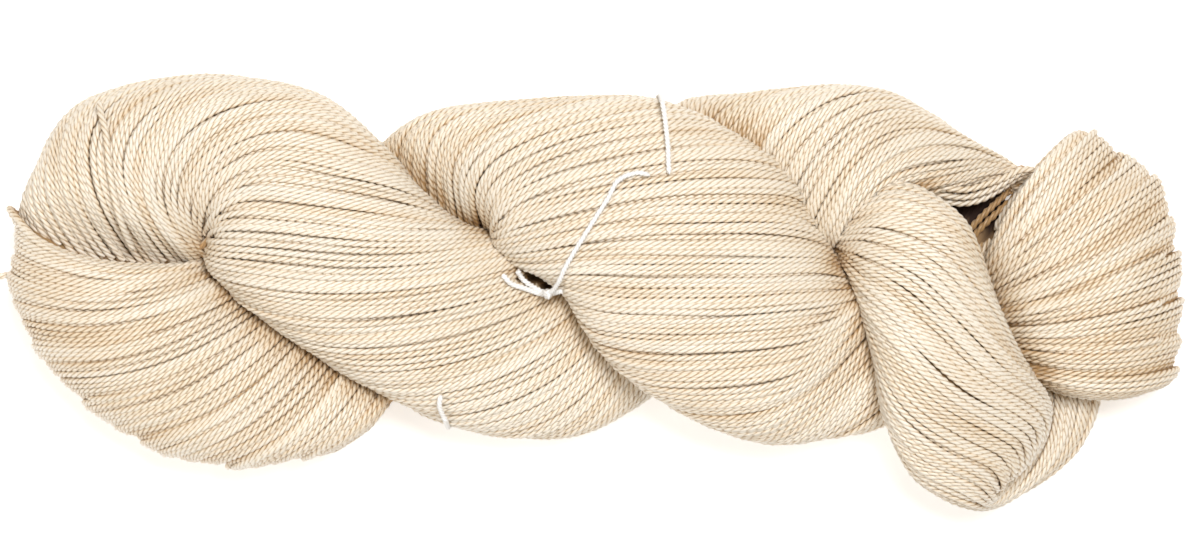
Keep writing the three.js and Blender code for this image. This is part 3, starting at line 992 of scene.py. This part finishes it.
# %% [markdown]
# On the far left lobe one yarn has slipped out of its lock and crosses the others. It rests on
# them as a thread does, but lies a little deeper, since it is as soft and heavy as they are.

# %% Crossing yarn on the far left lobe
CROSSING = [
    [-123, 41.5], [-122.5, 38.5], [-121, 33.5], [-120, 25.2], [-118.8, 17.8], [-117, 10.5],
    [-115.2, 4.8],
]
CROSSING_SUNK = [0, 0, 0.2]
crossing_line = resting(CROSSING, RADIUS) - CROSSING_SUNK
# Its depth is a little painted shade.
crossing = strands("crossing_yarn", [crossing_line], RADIUS, PITCH, depth=0.2)
dressed(crossing, silk, "silk_yarn", "hank")
print("crossing yarn", round(Bundle.passed(crossing_line)[-1], 1), "mm")

# %% [markdown]
# Three tie threads show. One goes over the back edge of the second side and dives between the
# yarns. One comes out beside it and ends in a small knot with free ends. One shows for a short
# stretch at the front. A knot could be simulated, but no one could tell: at this size a curve
# that winds through itself three times, of the same thread, reads as one.

# %% Tie threads
UPPER_TIE = [[16.8, 23.2], [16.6, 27], [16.5, 30], [16, 35.2], [15.5, 39.4], [15.2, 41]]
UPPER_BACK = [[15, 42.2, 43.5], [14.8, 42.9, 40], [14.5, 42.8, 36], [14.4, 41.9, 32.5]]
LOWER_TIE = [
    [12.2, 22.8], [10.5, 23.5], [8.5, 23.5], [6.2, 22.8], [4.5, 21.8], [3.2, 20], [2, 17.5],
    [-1.2, 12.5], [-4.5, 7.2], [-6.5, 4], [-8.5, 0.5], [-10, -2.8], [-11.5, -5], [-12.8, -5.8],
]
TIE_ENDS = [
    [[-12.8, -5.8], [-14.8, -5.8], [-18.5, -4.5], [-21.5, -3.5], [-23, -2.2], [-24, -1]],
    [[-12.8, -5.8], [-15, -5], [-17, -3.8], [-18.8, -2.5], [-19.8, -1], [-20.2, -0.2]],
    [[-12.8, -5.8], [-11, -5.5], [-9.2, -5.2]],
]
FRONT_TIE = [[-39, -30.8], [-39.5, -32.2], [-39.5, -34], [-38.8, -36], [-38.3, -37.2]]
FRONT_DOWN = [[-38, -38.9, 28], [-37.8, -39.1, 23], [-37.6, -38, 18], [-37.4, -35, 14]]
TIE = 1.5  # thickness of the thread
TIE_PITCH = 3.2  # mm in which its plies go once round it, a little more than their fibres take
KNOT = 0.85  # reach of the knot's windings
KNOT_LIFT = 0.5  # mm that the knot stands above the thread that runs into it
LIFTED = 8  # points of the thread that rise to it
EDGE_POINTS = 12  # points of the part of a thread that lies on top, before it goes over an edge


def over_edge(plan, down):
    """A line that rests on the yarns and then goes down over an edge."""
    on_top = resting(plan, TIE / 2, EDGE_POINTS)
    return fine_line([*on_top.tolist(), *down])


def knot_at(place):
    """The line of a small tight knot."""
    t = np.linspace(0, 2 * np.pi, THREAD_POINTS)
    winds = [np.sin(t) + 2 * np.sin(2 * t), np.cos(t) - 2 * np.cos(2 * t), -1.6 * np.sin(3 * t)]
    return place + KNOT * np.stack(winds, 1) / 3


upper_line = over_edge(UPPER_TIE, UPPER_BACK)
front_line = over_edge(FRONT_TIE, FRONT_DOWN)
lower_line = resting(LOWER_TIE, TIE / 2)
knot_place = lower_line[-1] + [0, 0, KNOT_LIFT]
lower_line[-LIFTED:, 2] += np.linspace(0, KNOT_LIFT, LIFTED)
end_lines = [resting(line, TIE / 2) for line in TIE_ENDS]
for node, lines in (
    ("upper_tie", [upper_line]),
    ("knotted_tie", [lower_line, knot_at(knot_place), *end_lines]),
    ("front_tie", [front_line]),
):
    piece = strands(node + "_thread", lines, TIE / 2, TIE_PITCH)
    dressed(piece, cotton, "tie_thread", node)
    print(piece.name, [round(Bundle.passed(line)[-1], 1) for line in lines], "mm")

# %% [markdown]
# The hank lies on a plain pale table. A sun lamp would draw hard shadows and an even white world
# none at all. Here one square light hangs almost overhead, and a larger, weaker one stands at the
# front left. The world's light is a little warm, because light that reaches the grooves has
# passed from silk to silk. The table glows a little, so that it stays white beside the silk.

# %% Floor and light
FLOOR_REACH = 3.0
FLOOR_GLOW = 0.42
AIM = (0, 0, 0.02)
WORLD_COLOUR, WORLD_STRENGTH = (1.12, 0.98, 0.8, 1), 0.30
corners = [(-1, -1), (1, -1), (1, 1), (-1, 1)]
floor_mesh = bpy.data.meshes.new("floor")
floor_mesh.from_pydata([(x * FLOOR_REACH, y * FLOOR_REACH, 0) for x, y in corners], [], [(0, 1, 2, 3)])
floor = bpy.data.objects.new("floor", floor_mesh)
bpy.context.scene.collection.objects.link(floor)
floor_look = {
    "Base Color": (0.95, 0.95, 0.95, 1),
    "Roughness": 0.9,
    "Emission Color": (1, 1, 1, 1),
    "Emission Strength": FLOOR_GLOW,
}
floor_mesh.materials.append(Paint("pale_floor").finish(floor_look))


def soft_light(name, place, size, power):
    """A square soft light that faces the hank."""
    lamp = bpy.data.objects.new(name, bpy.data.lights.new(name, "AREA"))
    lamp.data.size = size
    lamp.data.energy = power
    lamp.location = place
    away = lamp.location - type(lamp.location)(AIM)
    lamp.rotation_euler = away.to_track_quat("Z", "Y").to_euler()
    bpy.context.scene.collection.objects.link(lamp)
    print(name, power, "W")


soft_light("main_light", (0.2, 0.35, 1.5), size=0.45, power=18.5)
soft_light("fill_light", (-0.8, -0.6, 1.2), size=1.2, power=7.5)
world = bpy.data.worlds.new("studio")
bpy.context.scene.world = world
world.use_nodes = True
background = world.node_tree.nodes["Background"]
background.inputs[0].default_value = WORLD_COLOUR
background.inputs[1].default_value = WORLD_STRENGTH
bpy.context.scene.view_settings.view_transform = "Standard"

# %% [markdown]
# The triangles of every piece that was made here are printed, and their sum.

# %% Triangles in all
print("triangles", triangles, "in all", sum(triangles.values()))
